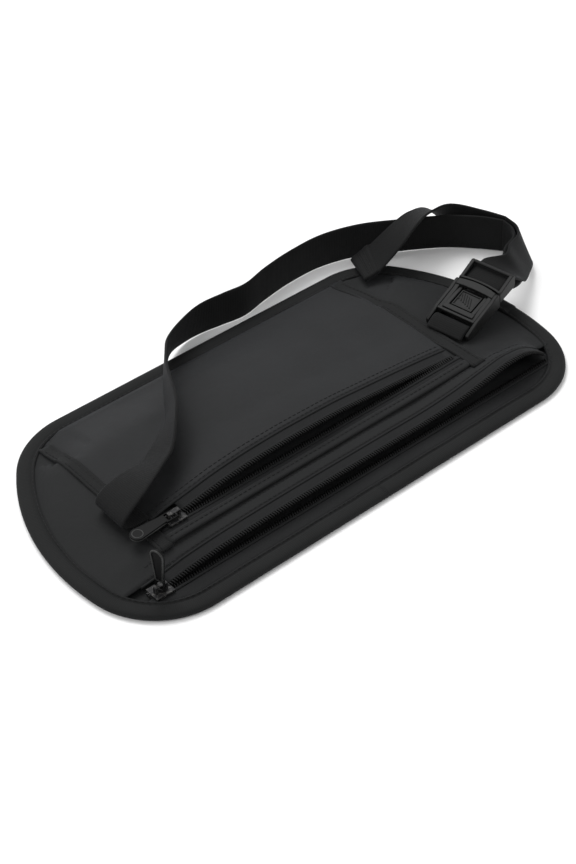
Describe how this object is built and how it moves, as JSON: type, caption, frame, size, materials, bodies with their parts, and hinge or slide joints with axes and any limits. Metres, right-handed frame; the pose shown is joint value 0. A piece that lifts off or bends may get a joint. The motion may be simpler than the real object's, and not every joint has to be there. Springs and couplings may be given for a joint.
{
  "type": "money belt",
  "caption": "Flat zipped waist pouch with a patch pocket, bound edges, woven strap and a side-worn front-release buckle, lying on its back.",
  "frame": {"origin": "centre of the pouch's back face, on the surface it lies on", "axes": "+X along the pouch towards its buckle, +Y towards the edge away from the zips, +Z out of the pouch's front"},
  "size_m": [0.3039, 0.1437, 0.0313],
  "materials": {
    "panel_fabric": "fine plain-weave nylon, matt with a soft sheen",
    "binding_tape": "ribbed woven binding tape",
    "zip_tape": "woven polyester zip tape",
    "zip_coil": "moulded nylon coil",
    "slider_metal": "black lacquered die-cast zinc, worn bright on its edges",
    "pull_plastic": "satin moulded rubbery plastic",
    "webbing": "ribbed woven elastic webbing",
    "buckle_plastic": "fine-textured moulded acetal"
  },
  "bodies": {
    "pouch": {"back_panel": "panel_fabric", "front_panel": "panel_fabric", "patch_panel": "panel_fabric", "left_side_tape": "binding_tape", "right_side_tape": "binding_tape", "edge_binding": "binding_tape", "main_zip_lower_tape": "zip_tape", "main_zip_upper_tape": "zip_tape", "patch_zip_lower_tape": "zip_tape", "patch_zip_upper_tape": "zip_tape", "main_zip_lower_coil": "zip_coil", "main_zip_upper_coil": "zip_coil", "patch_zip_lower_coil": "zip_coil", "patch_zip_upper_coil": "zip_coil", "waist_strap": "webbing", "strap_bend": "webbing", "strap_tail_bend": "webbing", "strap_tail": "webbing"},
    "main_slider": {"main_slider": "slider_metal"},
    "main_pull": {"main_pull": "pull_plastic"},
    "patch_slider": {"patch_slider": "slider_metal"},
    "patch_pull": {"patch_pull": "pull_plastic"},
    "buckle_socket": {"buckle_socket": "buckle_plastic", "buckle_loop": "webbing"},
    "buckle_plug": {"buckle_plug": "buckle_plastic", "strap_wrap": "webbing"},
    "push_tab": {"push_tab": "buckle_plastic"}
  },
  "joints": [
    {"name": "main_zip_slide", "type": "slide", "parent": "pouch", "child": "main_slider", "axis": [1, 0, 0], "range_m": [0, 0.217], "deforming": ["main_zip_upper_tape", "main_zip_upper_coil"]},
    {"name": "main_pull_swing", "type": "hinge", "parent": "main_slider", "child": "main_pull", "pos_m": [-0.109, -0.0475, 0.00545], "axis": [-0.2588, 0.9659, 0], "range_deg": [-84, 60]},
    {"name": "patch_zip_slide", "type": "slide", "parent": "pouch", "child": "patch_slider", "axis": [1, 0, 0], "range_m": [0, 0.158], "deforming": ["patch_zip_upper_tape", "patch_zip_upper_coil"]},
    {"name": "patch_pull_swing", "type": "hinge", "parent": "patch_slider", "child": "patch_pull", "pos_m": [-0.084, -0.0245, 0.01325], "axis": [0, 1, 0], "range_deg": [0, 170]},
    {"name": "buckle_lift", "type": "hinge", "parent": "pouch", "child": "buckle_socket", "pos_m": [0.0873, -0.009, 0.0095], "axis": [0, -1, 0], "range_deg": [0, 50]},
    {"name": "plug_slide", "type": "slide", "parent": "buckle_socket", "child": "buckle_plug", "axis": [0.9585, 0.195, 0.2079], "range_m": [0, 0.02], "deforming": ["strap_bend", "strap_tail_bend"]},
    {"name": "tab_press", "type": "hinge", "parent": "buckle_plug", "child": "push_tab", "pos_m": [0.11382, -0.00375, 0.0164], "axis": [0.1994, -0.9799, 0], "range_deg": [0, 5.5], "stiffness_Nm_per_rad": 1}
  ]
}
